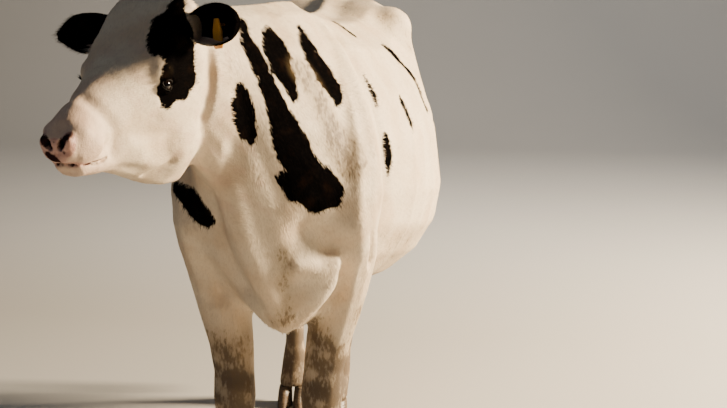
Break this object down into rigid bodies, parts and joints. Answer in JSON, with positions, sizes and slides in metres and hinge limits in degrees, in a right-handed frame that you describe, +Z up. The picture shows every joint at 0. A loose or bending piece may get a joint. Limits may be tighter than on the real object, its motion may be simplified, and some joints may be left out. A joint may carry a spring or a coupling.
{
  "type": "cow, holstein-friesian type",
  "caption": "Life-size still model of a black and white dairy cow standing, head up and turned to its right, with a plain ear tag.",
  "frame": {"origin": "on the floor under the middle of the whole model's box", "axes": "+Z up, the cow looks along -Y, its left side is +X"},
  "size_m": [0.8554, 2.402, 1.4883],
  "materials": {
    "hide": "short white hair with black patches, mud on the lower legs",
    "dark_hide": "short black hair, pinkish dark skin inside the ears",
    "horn": "dull hoof horn with growth rings and mud",
    "udder_skin": "soft pink skin under thin pale hair",
    "eye": "wet, very dark brown",
    "tag": "plain orange-yellow plastic, left blank"
  },
  "bodies": {
    "root": {"trunk": "hide", "neck": "hide", "head": "hide", "eye_left": "eye", "eye_right": "eye", "ear_left": "dark_hide", "ear_right": "dark_hide", "ear_tag": "tag", "fore_left_upper": "hide", "fore_left_lower": "hide", "fore_left_claw_inner": "horn", "fore_left_dewclaw_inner": "horn", "fore_left_claw_outer": "horn", "fore_left_dewclaw_outer": "horn", "fore_right_upper": "hide", "fore_right_lower": "hide", "fore_right_claw_inner": "horn", "fore_right_dewclaw_inner": "horn", "fore_right_claw_outer": "horn", "fore_right_dewclaw_outer": "horn", "hind_left_upper": "hide", "hind_left_lower": "hide", "hind_left_claw_inner": "horn", "hind_left_dewclaw_inner": "horn", "hind_left_claw_outer": "horn", "hind_left_dewclaw_outer": "horn", "hind_right_upper": "hide", "hind_right_lower": "hide", "hind_right_claw_inner": "horn", "hind_right_dewclaw_inner": "horn", "hind_right_claw_outer": "horn", "hind_right_dewclaw_outer": "horn", "udder": "udder_skin", "teat_fore_left": "udder_skin", "teat_fore_right": "udder_skin", "teat_rear_left": "udder_skin", "teat_rear_right": "udder_skin", "tail": "hide", "tail_switch": "hide"}
  },
  "joints": []
}
